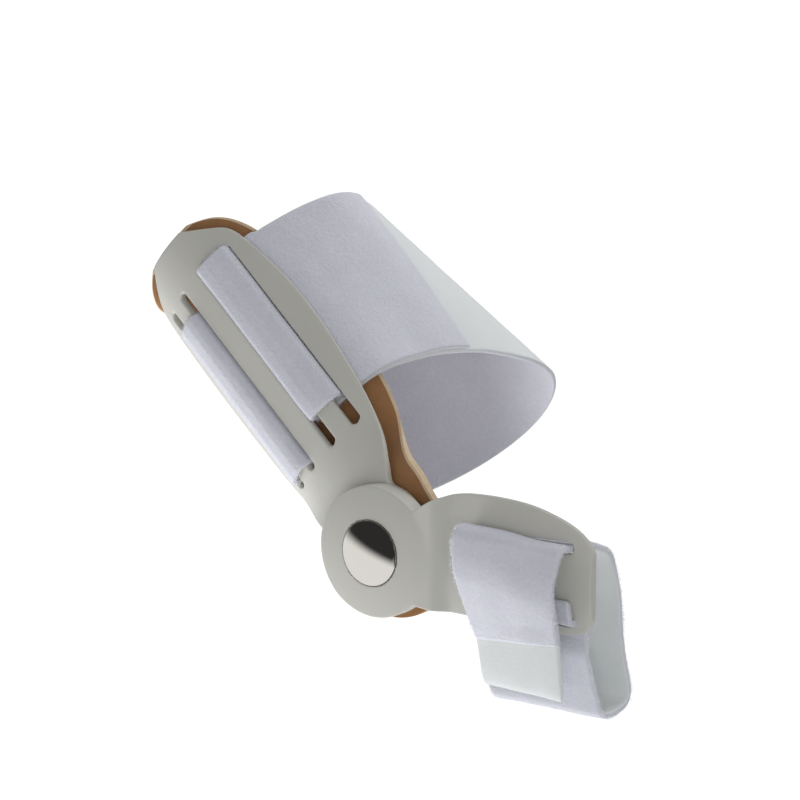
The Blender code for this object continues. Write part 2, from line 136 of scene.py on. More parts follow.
# place(x, y, side) gives a point of the sheet, with side 0 on its outer face and 1 on its inner face
def thickSheet(bm, place, supports, sideMaterial=0, crease=0.0):
    creases = bm.edges.layers.float.new("crease_edge")
    grown = bmesh.ops.extrude_face_region(bm, geom=bm.faces[:])
    for part in grown["geom"]:
        if isinstance(part, bmesh.types.BMVert):
            part.co.z = 1.0
    for share in supports:
        bmesh.ops.bisect_plane(bm, geom=bm.verts[:] + bm.edges[:] + bm.faces[:],
                               plane_co=(0, 0, share), plane_no=(0, 0, 1))
    bm.normal_update()
    for face in bm.faces:
        if abs(face.normal.z) < 0.5:
            face.material_index = sideMaterial
    if crease:
        for edge in bm.edges:
            flats = [abs(face.normal.z) > 0.5 for face in edge.link_faces]
            if len(set(flats)) == 2:
                edge[creases] = crease
    for vert in bm.verts:
        vert.co = place(*vert.co)
    bmesh.ops.recalc_face_normals(bm, faces=bm.faces)
    return bm


def makePiece(name, bm, materials):
    mesh = bpy.data.meshes.new(name)
    bm.to_mesh(mesh)
    bm.free()
    for finish in materials:
        mesh.materials.append(finish)
    mesh.shade_smooth()
    piece = bpy.data.objects.new(name, mesh)
    bpy.context.scene.collection.objects.link(piece)
    return piece


def subdivide(piece, levelCount):
    smooth = piece.modifiers.new("soften", "SUBSURF")
    smooth.levels = smooth.render_levels = levelCount
    smooth.boundary_smooth = "PRESERVE_CORNERS"
    return piece


def applyModifiers(piece):
    bpy.context.view_layer.update()
    ready = piece.evaluated_get(bpy.context.evaluated_depsgraph_get())
    mesh = bpy.data.meshes.new_from_object(ready)
    piece.modifiers.clear()
    piece.data = mesh
    return piece


# materials

def groupSockets(tree, inputs, outputs):
    for name, kind, value in inputs:
        socket = tree.interface.new_socket(name, in_out="INPUT", socket_type=kind)
        if value is not None:
            socket.default_value = value
    for name, kind in outputs:
        tree.interface.new_socket(name, in_out="OUTPUT", socket_type=kind)
    return tree.nodes.new("NodeGroupInput"), tree.nodes.new("NodeGroupOutput")


def toneGroup():  # two close tones mixed by a slow cloud, for plastic, suede and cloth
    tree = bpy.data.node_groups.new("toneCloud", "ShaderNodeTree")
    start, end = groupSockets(tree, (
        ("Vector", "NodeSocketVector", None), ("Scale", "NodeSocketFloat", 60.0),
        ("Tone A", "NodeSocketColor", None), ("Tone B", "NodeSocketColor", None)),
        (("Color", "NodeSocketColor"),))
    cloud = tree.nodes.new("ShaderNodeTexNoise")
    cloud.inputs["Detail"].default_value = 3.0
    mix = tree.nodes.new("ShaderNodeMix")
    mix.data_type = "RGBA"
    link = tree.links.new
    link(start.outputs["Vector"], cloud.inputs["Vector"])
    link(start.outputs["Scale"], cloud.inputs["Scale"])
    link(cloud.outputs["Fac"], mix.inputs["Factor"])
    link(start.outputs["Tone A"], mix.inputs["A"])
    link(start.outputs["Tone B"], mix.inputs["B"])
    link(mix.outputs["Result"], end.inputs["Color"])
    return tree


def grainGroup():  # fine relief of two sizes, as a height
    tree = bpy.data.node_groups.new("fineGrain", "ShaderNodeTree")
    start, end = groupSockets(tree, (
        ("Vector", "NodeSocketVector", None), ("Fine Scale", "NodeSocketFloat", 2500.0),
        ("Coarse Scale", "NodeSocketFloat", 500.0), ("Coarse Share", "NodeSocketFloat", 0.5)),
        (("Height", "NodeSocketFloat"), ("Coarse", "NodeSocketFloat")))
    fine, coarse = (tree.nodes.new("ShaderNodeTexNoise") for _ in range(2))
    for grain in (fine, coarse):
        grain.inputs["Detail"].default_value = 2.0
    mix = tree.nodes.new("ShaderNodeMix")
    link = tree.links.new
    for grain, name in ((fine, "Fine Scale"), (coarse, "Coarse Scale")):
        link(start.outputs["Vector"], grain.inputs["Vector"])
        link(start.outputs[name], grain.inputs["Scale"])
    link(start.outputs["Coarse Share"], mix.inputs["Factor"])
    link(fine.outputs["Fac"], mix.inputs["A"])
    link(coarse.outputs["Fac"], mix.inputs["B"])
    link(mix.outputs["Result"], end.inputs["Height"])
    link(coarse.outputs["Fac"], end.inputs["Coarse"])
    return tree


def weaveGroup():  # crossed fine ribs of a woven tape, on the strap's own map in metres
    tree = bpy.data.node_groups.new("tapeWeave", "ShaderNodeTree")
    start, end = groupSockets(tree, (
        ("Vector", "NodeSocketVector", None), ("Rib Scale", "NodeSocketFloat", 300.0)),
        (("Height", "NodeSocketFloat"),))
    ribs = []
    for direction in ("X", "Y"):
        rib = tree.nodes.new("ShaderNodeTexWave")
        rib.bands_direction = direction
        rib.inputs["Distortion"].default_value = 1.2
        rib.inputs["Detail"].default_value = 1.0
        tree.links.new(start.outputs["Vector"], rib.inputs["Vector"])
        tree.links.new(start.outputs["Rib Scale"], rib.inputs["Scale"])
        ribs.append(rib)
    join = tree.nodes.new("ShaderNodeMath")
    join.operation = "MULTIPLY"
    for k, rib in enumerate(ribs):
        tree.links.new(rib.outputs["Fac"], join.inputs[k])
    tree.links.new(join.outputs["Value"], end.inputs["Height"])
    return tree


groups = {"tone": toneGroup(), "grain": grainGroup(), "weave": weaveGroup()}


def finishMaterial(name, look):
    made = bpy.data.materials.new(name)
    made.use_nodes = True
    tree = made.node_tree
    link = tree.links.new
    shader = tree.nodes["Principled BSDF"]
    for socket, value in look["shader"].items():
        shader.inputs[socket].default_value = value
    place = tree.nodes.new("ShaderNodeTexCoord")
    tone = tree.nodes.new("ShaderNodeGroup")
    tone.node_tree = groups["tone"]
    tone.inputs["Scale"].default_value = look["cloudScale"]
    tone.inputs["Tone A"].default_value = (*look["toneA"], 1.0)
    tone.inputs["Tone B"].default_value = (*look["toneB"], 1.0)
    link(place.outputs["Object"], tone.inputs["Vector"])
    grain = tree.nodes.new("ShaderNodeGroup")
    grain.node_tree = groups["grain"]
    for socket, value in zip(("Fine Scale", "Coarse Scale", "Coarse Share"), look["grain"]):
        grain.inputs[socket].default_value = value
    link(place.outputs["Object"], grain.inputs["Vector"])
    rough = tree.nodes.new("ShaderNodeMapRange")
    rough.inputs["To Min"].default_value, rough.inputs["To Max"].default_value = look["roughness"]
    link(grain.outputs["Coarse"], rough.inputs["Value"])
    link(rough.outputs["Result"], shader.inputs["Roughness"])
    shade = tree.nodes.new("ShaderNodeMix")  # hollows of the grain are a little darker
    shade.data_type = "RGBA"
    shade.blend_type = "MULTIPLY"
    shade.inputs["Factor"].default_value = look["grainShade"]
    link(tone.outputs["Color"], shade.inputs["A"])
    link(grain.outputs["Height"], shade.inputs["B"])
    link(shade.outputs["Result"], shader.inputs["Base Color"])
    bump = tree.nodes.new("ShaderNodeBump")
    bump.inputs["Strength"].default_value = look["bump"]
    bump.inputs["Distance"].default_value = look["relief"]
    link(grain.outputs["Height"], bump.inputs["Height"])
    link(bump.outputs["Normal"], shader.inputs["Normal"])
    if "weave" in look:
        ribs = tree.nodes.new("ShaderNodeGroup")
        ribs.node_tree = groups["weave"]
        ribs.inputs["Rib Scale"].default_value = look["weave"]
        link(place.outputs["UV"], ribs.inputs["Vector"])
        ribBump = tree.nodes.new("ShaderNodeBump")
        ribBump.inputs["Strength"].default_value = look["bump"]
        ribBump.inputs["Distance"].default_value = look["ribRelief"]
        link(ribs.outputs["Height"], ribBump.inputs["Height"])
        link(bump.outputs["Normal"], ribBump.inputs["Normal"])
        link(ribBump.outputs["Normal"], shader.inputs["Normal"])
    return made


looks = {
    "platePlastic": {
        "toneA": (0.565, 0.56, 0.52), "toneB": (0.605, 0.60, 0.56), "cloudScale": 40.0,
        "grain": (3500.0, 700.0, 0.4), "grainShade": 0.06, "roughness": (0.36, 0.46),
        "bump": 0.10, "relief": 0.0002,
        "shader": {"Subsurface Weight": 0.12, "Subsurface Radius": (0.004, 0.004, 0.003),
                   "Subsurface Scale": 0.5}},
    "loopCloth": {
        "toneA": (0.72, 0.73, 0.82), "toneB": (0.80, 0.81, 0.89), "cloudScale": 120.0,
        "grain": (2600.0, 900.0, 0.5), "grainShade": 0.25, "roughness": (0.88, 1.0),
        "bump": 0.55, "relief": 0.0006,
        "shader": {"Sheen Weight": 0.35, "Sheen Roughness": 0.5}},
    "tapeCloth": {
        "toneA": (0.77, 0.80, 0.81), "toneB": (0.83, 0.86, 0.87), "cloudScale": 90.0,
        "grain": (2800.0, 1200.0, 0.4), "grainShade": 0.14, "roughness": (0.74, 0.86),
        "bump": 0.30, "relief": 0.0003, "weave": 220.0, "ribRelief": 0.00004,
        "shader": {"Sheen Weight": 0.15, "Sheen Roughness": 0.4}},
    # the loop cloth's tones made lighter for its loose fibres: painted light, so the thin fibres do not show
    # their own shade as dark specks
    "looseFibreLit": {
        "toneA": (0.80, 0.81, 0.88), "toneB": (0.87, 0.88, 0.94), "cloudScale": 120.0,
        "grain": (2600.0, 900.0, 0.5), "grainShade": 0.0, "roughness": (0.92, 1.0),
        "bump": 0.0, "relief": 0.0001,
        "shader": {"Sheen Weight": 0.5, "Subsurface Weight": 0.6, "Subsurface Radius": (0.001, 0.001, 0.001),
                   "Subsurface Scale": 1.0}},
    "padSuede": {
        "toneA": (0.35, 0.170, 0.070), "toneB": (0.43, 0.225, 0.100), "cloudScale": 150.0,
        "grain": (3200.0, 900.0, 0.4), "grainShade": 0.30, "roughness": (0.86, 0.98),
        "bump": 0.45, "relief": 0.0003,
        "shader": {"Sheen Weight": 0.06, "Sheen Roughness": 0.45}},
    "padFoam": {
        "toneA": (0.74, 0.56, 0.37), "toneB": (0.82, 0.65, 0.45), "cloudScale": 200.0,
        "grain": (1900.0, 900.0, 0.5), "grainShade": 0.35, "roughness": (0.85, 0.95),
        "bump": 0.55, "relief": 0.0004,
        "shader": {"Subsurface Weight": 0.10, "Subsurface Radius": (0.003, 0.002, 0.001),
                   "Subsurface Scale": 0.5}},
    "rivetSteel": {
        "toneA": (0.86, 0.83, 0.78), "toneB": (0.90, 0.87, 0.82), "cloudScale": 90.0,
        "grain": (5000.0, 600.0, 0.5), "grainShade": 0.03, "roughness": (0.05, 0.10),
        "bump": 0.02, "relief": 0.00005,
        "shader": {"Metallic": 1.0}},
}
finishes = {name: finishMaterial(name, look) for name, look in looks.items()}
print("materials ready")


# midfoot plate

plate = {
    "bend": radians(43.0), "length": 0.1136, "halfWidth": 0.0253, "wall": 0.0030, "camber": 0.0320,
    "offset": 0.0015, "lobe": 0.0170, "flatEnd": 0.0110, "camberLength": 0.0200,
    "spine": 0.0040, "barIn": 0.0070, "barOut": 0.0135, "railIn": 0.0170,
    "slotStart": 0.0322, "slotEnd": 0.1006, "support": 0.0007, "slotRound": 0.0012, "edgeSoft": 0.0012,
    "shellWall": 0.0024,
    "outline": (
        (0.105, 0.54), (0.15, 0.62), (0.20, 0.73), (0.28, 0.83), (0.36, 0.90), (0.45, 0.95),
        (0.54, 0.985), (0.63, 1.00), (0.71, 0.985), (0.80, 0.93), (0.88, 0.86), (0.922, 0.79)),
    "headWidth": 0.29,
}
plateAxis = Vector((-cos(plate["bend"]), 0.0, sin(plate["bend"])))
plateAcross = Vector((sin(plate["bend"]), 0.0, cos(plate["bend"])))


def camber(u):  # flat at the hinge, full along the slots
    return smoothStep(u, plate["flatEnd"], plate["camberLength"]) / plate["camber"]


def onPlate(u, s, depth):  # u along the plate, s round its outer face, depth below that face
    bend = camber(u)
    base = (outward * levels["plateFace"]
            + plateAcross * plate["offset"] * smoothStep(u, 0.0, plate["flatEnd"]))
    if bend < tiny:
        return base + plateAxis * u + plateAcross * s - outward * depth
    angle = s * bend
    across = sin(angle) * (1 / bend - depth)
    inward = (1 - cos(angle)) / bend + depth * cos(angle)
    return base + plateAxis * u + plateAcross * across - outward * inward


def plateHalfWidth(u):
    share = u / plate["length"]
    outline = plate["outline"]
    if share <= outline[0][0]:
        return sqrt(max(plate["lobe"] ** 2 - u ** 2, 0.0))
    if share <= outline[-1][0]:
        return plate["halfWidth"] * along(outline, share)
    corner, cornerWidth = outline[-1]
    fall = (share - corner) / (1 - corner)
    return plate["halfWidth"] * (cornerWidth + (plate["headWidth"] - cornerWidth) * fall)


def drawIn(s, rail, width):  # the rail starts at rail and ends at width
    if abs(s) <= plate["railIn"]:
        return s * rail / plate["railIn"]
    rest = (abs(s) - plate["railIn"]) / (plate["halfWidth"] - plate["railIn"])
    moved = rail + rest * (width - rail)
    return moved if s > 0 else -moved


def roundEnd(x, share, radius):  # a square grid mapped on a half disc, for x below 0
    across = x / radius
    return radius * across * sqrt(1 - share * share / 2), radius * share * sqrt(1 - across * across / 2)


def plateShell():
    near, rounding = plate["support"], plate["slotRound"]
    shoulder = plate["outline"][0][0] * plate["length"]
    corner = plate["outline"][-1][0] * plate["length"]
    start, end = plate["slotStart"], plate["slotEnd"]
    columns = stations(
        -plate["lobe"], 6, 0.0, 4, shoulder, 6, start - near, 1, start, 1, start + rounding + near, 22,
        end - rounding - near, 1, end, 1, end + near, 1, corner, 3, plate["length"] - plate["edgeSoft"], 1,
        plate["length"])
    across = stations(
        0.0, 1, plate["spine"] - near, 1, plate["spine"], 2, plate["barIn"], 1, plate["barIn"] + near, 2,
        plate["barOut"] - near, 1, plate["barOut"], 2, plate["railIn"], 1, plate["railIn"] + near, 2,
        plate["halfWidth"] - plate["edgeSoft"], 1, plate["halfWidth"])
    corners = [side * plate[key] for side in (1, -1) for key in ("spine", "barIn", "barOut", "railIn")]
    rows = [-value for value in reversed(across[1:])] + across
    holes = []
    for side in (1, -1):
        for edges in ((plate["spine"], plate["barIn"]), (plate["barOut"], plate["railIn"])):
            low, high = sorted(side * edge for edge in edges)
            holes.append((start, end, low, high))

    def place(u, s, side):
        for slotEdge, inwards in ((start, 1), (end, -1)):  # rounds the ends of the slots
            if abs(u - slotEdge) < tiny and min(abs(s - corner) for corner in corners) < tiny:
                u += inwards * rounding
        if u < 0:
            u, s = roundEnd(u, s / plate["halfWidth"], plate["lobe"])
        else:
            width = plateHalfWidth(u)
            fullRail = plate["railIn"]
            rail = fullRail if start <= u <= end else min(fullRail, width * fullRail / plate["halfWidth"])
            s = drawIn(s, rail, width)
        return onPlate(u, s, side * plate["shellWall"])

    bm = thickSheet(flatGrid(columns, rows, holes), place, (0.5,))
    piece = subdivide(makePiece("midfootPlateShell", bm, [finishes["platePlastic"]]), 2)
    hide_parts("midfoot_plate")
    return piece


# pad

pad = {
    "wall": 0.0040, "margin": 0.0020, "halfWidth": 0.0265, "hingeRadius": 0.0206, "return": 0.65,
    "returnLength": 0.0080, "headShift": 0.0024, "depth": 0.0075, "dent": 0.00025, "dentScale": 90.0,
    "rim": 0.965, "taper": 0.4, "taperPower": 6, "crease": 0.75,
    "flare": 0.0030, "flareStart": 0.0995, "flareSide": (0.0060, 0.0170),
    "outline": (
        (0.00, 0.777), (0.07, 0.79), (0.13, 0.77), (0.19, 0.765), (0.24, 0.80), (0.29, 0.87), (0.37, 0.95),
        (0.50, 1.00), (0.65, 1.00), (0.80, 0.97), (0.88, 0.92), (0.93, 0.84), (0.97, 0.66), (1.00, 0.38)),
}


def footPad():
    length = plate["length"] + pad["margin"]
    rim = pad["rim"]
    lastColumn = length - (1 - rim) * pad["halfWidth"]
    columns = stations(
        -pad["hingeRadius"], 8, 0.0, 14, plate["slotStart"], 18, plate["slotEnd"], 9, lastColumn, 1, length)
    rows = stations(-1.0, 1, -rim, 22, rim, 1, 1.0)

    def place(u, share, side):
        atHead = smoothStep(u, plate["slotEnd"], pad["returnLength"])
        back = pad["return"] + (1 - pad["return"]) * smoothStep(-share, 0.0, 1.0)
        room = smoothStep(u, plate["flatEnd"], plate["camberLength"]) - back * atHead
        depth = plate["wall"] + fitGap + (pad["depth"] - plate["wall"] - fitGap) * room
        if u < 0:
            u, s = roundEnd(u, share, pad["hingeRadius"])
        else:
            s = share * pad["halfWidth"] * along(pad["outline"], u / length)
        flare = smoothStep(-s, *pad["flareSide"]) * smoothStep(u, pad["flareStart"], pad["returnLength"])
        depth -= pad["flare"] * flare
        ripple = noise.noise(Vector((u, s, side)) * pad["dentScale"]) * pad["dent"] * (1 - side)
        atDepth = 1 / (1 - depth * camber(u))
        s = s - pad["headShift"] * smoothStep(u, plate["slotStart"], plate["slotEnd"] - plate["slotStart"])
        wall = pad["wall"] * (1 - pad["taper"] * abs(share) ** pad["taperPower"])
        return onPlate(u, s * atDepth, depth + side * wall + max(ripple, 0.0))

    bm = flatGrid(columns, rows)
    for face in bm.faces:  # the suede stops short of the edge, where the foam shows
        middle = face.calc_center_median()
        face.material_index = int(abs(middle.y) > rim or middle.x > lastColumn)
    thickSheet(bm, place, (0.5,), sideMaterial=1, crease=pad["crease"])
    piece = subdivide(makePiece("footPad", bm, [finishes["padSuede"], finishes["padFoam"]]), 2)
    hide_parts("midfoot_pad")
    return piece


# midfoot strap

midStrap = {
    "wall": 0.0018, "bend": 0.0015, "width": 0.0580, "middle": 0.0712, "freeEnd": radians(120.5),
    "slant": radians(-7.5), "sewnEnd": radians(75.0), "freeSteps": 26,
    "heel": (0.0325, 0.0300, 0.0022), "ball": (0.0495, 0.0298, -0.0025),
    "shift": ((0, 0.0), (25, 0.0), (60, 0.01), (100, 0.0), (130, -0.055), (160, -0.16),
              (200, -0.22), (270, -0.19), (335, -0.13), (360, -0.13)),
    "oval": (radians(50.0), radians(60.0)),  # the foot's own section starts here, over so wide an angle
    "puff": 0.0006, "flat": 0.0016, "wave": 0.00025, "setBack": 0.018, "arcSteps": 5,
    "endWall": 0.75, "endSteps": 3, "hem": 0.485,
    "fuzzFree": (8, 48), "fuzzSewn": (68, 24), "fibres": {"count": 2600, "edgeShare": 0.4, "seed": 4},
}
overBar = fitGap + midStrap["wall"] / 2
underRail = -(plate["wall"] + fitGap + midStrap["wall"] / 2)
onPad = underRail - midStrap["wall"] - fitGap


def footRadius(angle, u):  # the strap's skin side from the camber's centre, round the foot
    t = 0.5 + (midStrap["middle"] - u) / midStrap["width"]
    deep, high, lift = (a + (b - a) * t for a, b in zip(midStrap["heel"], midStrap["ball"]))
    inner = plate["camber"] - pad["depth"]
    shift = deep - inner
    qa = (cos(angle) / deep) ** 2 + (sin(angle) / high) ** 2
    qb = 2 * (shift * cos(angle) / deep ** 2 - lift * sin(angle) / high ** 2)
    qc = (shift / deep) ** 2 + (lift / high) ** 2 - 1
    oval = (-qb + sqrt(qb * qb - 4 * qa * qc)) / (2 * qa)
    away = min(angle, 2 * pi - angle)
    return inner + (oval - inner) * smoothStep(away, *midStrap["oval"])


def midStrapRoute():  # (angle round the foot, height over the plate's outer face)
    outer = plate["railIn"] - fitGap - midStrap["wall"] / 2
    rail = plate["halfWidth"] / plate["camber"]
    bend = midStrap["bend"]
    crown = overBar + midStrap["puff"]
    middle = (plate["barIn"] + plate["barOut"]) / 2
    flat = midStrap["flat"]
    barBend, crownBend = 1.2 * bend, 2 * bend  # wider over the bar than in the slots

    def tuckPath(inner):
        path = fillet([
            (plate["railIn"] + bend, underRail, 0), (outer, underRail, bend), (outer, overBar, barBend),
            (middle + flat, crown, crownBend), (middle - flat, crown, crownBend), (inner, overBar, barBend),
            (inner, onPad, bend), (plate["barOut"], onPad, 0)], midStrap["arcSteps"])
        return [(point.x / plate["camber"], point.y) for point in path]

    tuck = tuckPath(plate["spine"] + fitGap + midStrap["wall"] / 2)
    lowTuck = tuckPath(plate["barIn"] - fitGap - midStrap["wall"] / 2)
    turn = 2 * pi
    side = tuck[-1][0]
    freeAngles = stations(midStrap["freeEnd"], midStrap["freeSteps"], rail, 4, tuck[0][0])
    free = [(angle, underRail) for angle in freeAngles[:-1]]
    around = [(angle, onPad) for angle in stations(side, 8, rail, 84, turn - rail, 8, turn - side)[1:-1]]
    back = [(turn - angle, height) for angle, height in reversed(lowTuck)]
    sewn = [(turn - angle, underRail) for angle in stations(tuck[0][0], 4, rail, 12, midStrap["sewnEnd"])[1:]]
    return free + tuck + around + back + sewn


def midStrapPoint(angle, height, share, k):
    if height < 0.0 and k < midStrap["freeSteps"]:
        angle += midStrap["slant"] * share * (1 - k / midStrap["freeSteps"])
    if k < midStrap["freeSteps"]:  # the outer layer leaves a thin border of the under layer bare
        share -= midStrap["setBack"] * max(share * 2, 0.0)
    u = midStrap["middle"] + midStrap["width"] * (share + along(midStrap["shift"], degrees(angle)))
    radius = footRadius(angle, u) + pad["depth"] + height
    base = outward * (levels["plateFace"] - plate["camber"]) + plateAcross * plate["offset"]
    return base + plateAxis * u + plateAcross * radius * sin(angle) + outward * radius * cos(angle)


def runLengths(points):
    lengths = [0.0]
    for a, b in zip(points, points[1:]):
        lengths.append(lengths[-1] + (b - a).length)
    return lengths


waveScale = 140.0  # of the straps' slow waves, a metre


def strapPiece(name, stops, rows, point, width, wall, wave, wallShare, tapeFaces=(), flip=False):
    bm = flatGrid(list(range(stops)), rows)
    run = runLengths([point(k, 0.0) for k in range(stops)])
    uv = bm.loops.layers.uv.new("strapMap")
    for face in bm.faces:
        middle = face.calc_center_median()
        face.material_index = int(any(low < middle.x < high for low, high in tapeFaces))
        for loop in face.loops:
            k, share = round(loop.vert.co.x), loop.vert.co.y
            loop[uv].uv = (run[k], share * width)
    deform = bm.verts.layers.deform.new("wallShare")
    for vert in bm.verts:
        k = round(vert.co.x)
        vert[deform][0] = wallShare(k)
        vert.co = point(k, vert.co.y)
    if flip:
        bmesh.ops.reverse_faces(bm, faces=bm.faces)
    bm.normal_update()
    lift = {vert: noise.noise(vert.co * waveScale) * wave * vert.normal for vert in bm.verts}
    for vert, move in lift.items():
        vert.co += move
    piece = makePiece(name, bm, [finishes["loopCloth"], finishes["tapeCloth"]])
    piece.vertex_groups.new(name="wallShare")
    cloth = piece.modifiers.new("clothWall", "SOLIDIFY")
    cloth.thickness = wall
    cloth.offset = 0.0
    cloth.use_even_offset = True
    cloth.vertex_group = "wallShare"
    cloth.material_offset = 1
    cloth.material_offset_rim = 0
    subdivide(piece, 2)
    return piece, run[-1]


fuzz = {
    "radius": 0.00004, "length": (0.0006, 0.0014), "spread": 1.0, "lift": 0.35, "batch": 100,
    "inside": 0.49, "probe": 0.01, "edgeLift": 0.3, "edgeRoot": (-0.2, 0.45), "faceRoot": 0.48, "sunk": 0.45,
}


# loose fibres of the loop cloth, on its outer face and along its cut edges, between the stops named in spans
def clothFuzz(name, point, stops, wall, outside, spans, count, edgeShare, seed):
    rng = Random(seed)
    run = runLengths([point(k, 0.0) for k in range(stops)])
    whole = bpy.data.meshes.new(name)
    bm = bmesh.new()
    for n in range(count):
        first, last = rng.choices(spans, [run[high] - run[low] for low, high in spans])[0]
        at = rng.uniform(run[first], run[last])
        low = min(bisect_right(run, at) - 1, stops - 2)
        atEdge = rng.random() < edgeShare
        share = rng.choice((-0.5, 0.5)) if atEdge else rng.uniform(-fuzz["inside"], fuzz["inside"])
        here = point(low, share).lerp(point(low + 1, share), (at - run[low]) / (run[low + 1] - run[low]))
        ahead = (point(low + 1, share) - point(low, share)).normalized()
        across = (point(low, share + fuzz["probe"]) - point(low, share - fuzz["probe"])).normalized()
        out = ahead.cross(across) * outside
        stray = [rng.uniform(-fuzz["spread"], fuzz["spread"]) for _ in range(2)]
        if atEdge:
            root = here + out * wall * rng.uniform(*fuzz["edgeRoot"])
            way = across * (1 if share > 0 else -1) + out * (stray[0] + fuzz["edgeLift"]) + ahead * stray[1]
        else:
            root = here + out * wall * fuzz["faceRoot"]
            way = out * fuzz["lift"] + across * stray[0] + ahead * stray[1]
        way.normalize()
        length = rng.uniform(*fuzz["length"])
        turn = way.to_track_quat("Z", "Y").to_matrix().to_4x4()
        middle = Matrix.Translation(root + way * length * fuzz["sunk"])
        bmesh.ops.create_cone(bm, cap_ends=True, cap_tris=True, segments=3, radius1=fuzz["radius"],
                              radius2=0.0, depth=length, matrix=middle @ turn)
        if n % fuzz["batch"] == fuzz["batch"] - 1 or n == count - 1:  # small batches are much quicker
            bm.from_mesh(whole)
            bm.to_mesh(whole)
            bm.clear()
    bm.from_mesh(whole)
    bpy.data.meshes.remove(whole)
    # the fibres take the lighter copy of the loop cloth, which is painted light
    piece = makePiece(name, bm, [finishes["looseFibreLit"]])
    piece.visible_shadow = False
    return piece


def midfootStrap():
    route = midStrapRoute()
    rows = stations(-0.5, 1, -midStrap["hem"], 10, midStrap["hem"], 1, 0.5)

    def point(k, share):
        return midStrapPoint(*route[k], share, k)

    def wallShare(k):
        fromEnd = min(k, len(route) - 1 - k) / midStrap["endSteps"]
        return midStrap["endWall"] + (1 - midStrap["endWall"]) * min(fromEnd, 1.0)

    piece, length = strapPiece("midfootStrapCloth", len(route), rows, point, midStrap["width"],
                               midStrap["wall"], midStrap["wave"], wallShare, flip=True)
    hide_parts("midfoot_strap")
    print("midfoot strap flat length", round(length, 4))
    spans = [tuple(midStrap["freeSteps"] + k for k in midStrap["fuzzFree"]),
             tuple(len(route) - k for k in midStrap["fuzzSewn"])]
    loose = clothFuzz("midfootStrapFuzz", point, len(route), midStrap["wall"], -1, spans,
                      **midStrap["fibres"])
    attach(loose, "midfoot")
    return piece


# hinge rivet

rivet = {"capRadius": 0.0093, "rise": 0.0024, "rim": 0.0007, "edge": 0.0004, "pin": 0.0029,
         "steps": 96, "domeSteps": 14, "edgeSteps": 4, "boreSteps": 64}


def spinProfile(bm, profile, steps):  # profile of (radius, distance outwards) round the hinge pin
    verts = [bm.verts.new((radius, -out, 0.0)) for radius, out in profile]
    edges = [bm.edges.new(pair) for pair in zip(verts, verts[1:])]
    bmesh.ops.spin(bm, geom=verts + edges, cent=(0, 0, 0), axis=(0, 1, 0), angle=2 * pi, steps=steps,
                   use_merge=True)
    bmesh.ops.remove_doubles(bm, verts=bm.verts, dist=tiny)
    bmesh.ops.recalc_face_normals(bm, faces=bm.faces)
    return bm


def hingeRivet():
    seat = levels["recessFloor"] + fitGap
    dome = rivet["rise"] - rivet["rim"]
    radius = rivet["capRadius"]
    ball = (radius ** 2 + dome ** 2) / (2 * dome)  # a shallow cap of a ball, as a pressed rivet has
    edge = rivet["edge"]
    profile = [(0.0, seat + rivet["rise"])]
    reach = asin((radius - edge) / ball)
    for k in range(1, rivet["domeSteps"] + 1):
        turn = reach * k / rivet["domeSteps"]
        profile.append((ball * sin(turn), seat + rivet["rise"] - ball * (1 - cos(turn))))
    top = profile[-1][1]
    for k in range(1, rivet["edgeSteps"] + 1):
        turn = pi / 2 * k / rivet["edgeSteps"]
        profile.append((radius - edge + edge * sin(turn), top - edge + edge * cos(turn)))
    profile += [(radius, seat), (rivet["pin"], seat), (rivet["pin"], levels["lobeBack"]),
                (0.0, levels["lobeBack"])]
    bm = spinProfile(bmesh.new(), profile, rivet["steps"])
    piece = makePiece("rivetCap", bm, [finishes["rivetSteel"]])
    piece.data.set_sharp_from_angle(angle=radians(50.0))
    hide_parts("hinge_rivet")
    return piece


# toe plate

arm = {
    "disc": 0.0188, "wall": 0.0030, "length": 0.0700, "halfHeight": 0.0200, "rail": 0.0014, "endCurl": 0.0015,
    "rampStart": 0.0190, "rampEnd": 0.0250, "slotStart": 0.0308, "slotEnd": 0.0648, "slot": 0.0032,
    "barTop": 0.0078, "barBottom": -0.0090, "support": 0.0007, "slotRound": 0.0012, "crown": 0.0014,
    "dome": 0.0021, "domePower": 2.2, "strapMiddle": 0.0480, "discStops": (0.0115, 0.0155),
    "edgeSupports": (0.14, 0.86), "lip": 0.00022, "lipReach": 1e-5,
    "outline": (
        (0.16, 0.55, -0.64), (0.21, 0.70, -0.67), (0.26, 0.82, -0.69), (0.30, 0.89, -0.70),
        (0.37, 0.965, -0.71), (0.46, 1.00, -0.715), (0.60, 1.00, -0.72), (0.735, 0.95, -0.725),
        (0.87, 0.81, -0.725), (0.94, 0.68, -0.70), (0.985, 0.53, -0.60), (1.00, 0.42, -0.47)),
}


def armEdges(x):
    share = x / arm["length"]
    top = arm["halfHeight"] * along(arm["outline"], share, 1)
    bottom = arm["halfHeight"] * along(arm["outline"], share, 2)
    if x < arm["disc"]:
        disc = sqrt(arm["disc"] ** 2 - x ** 2)
        top, bottom = max(top, disc), min(bottom, -disc)
    return top, bottom


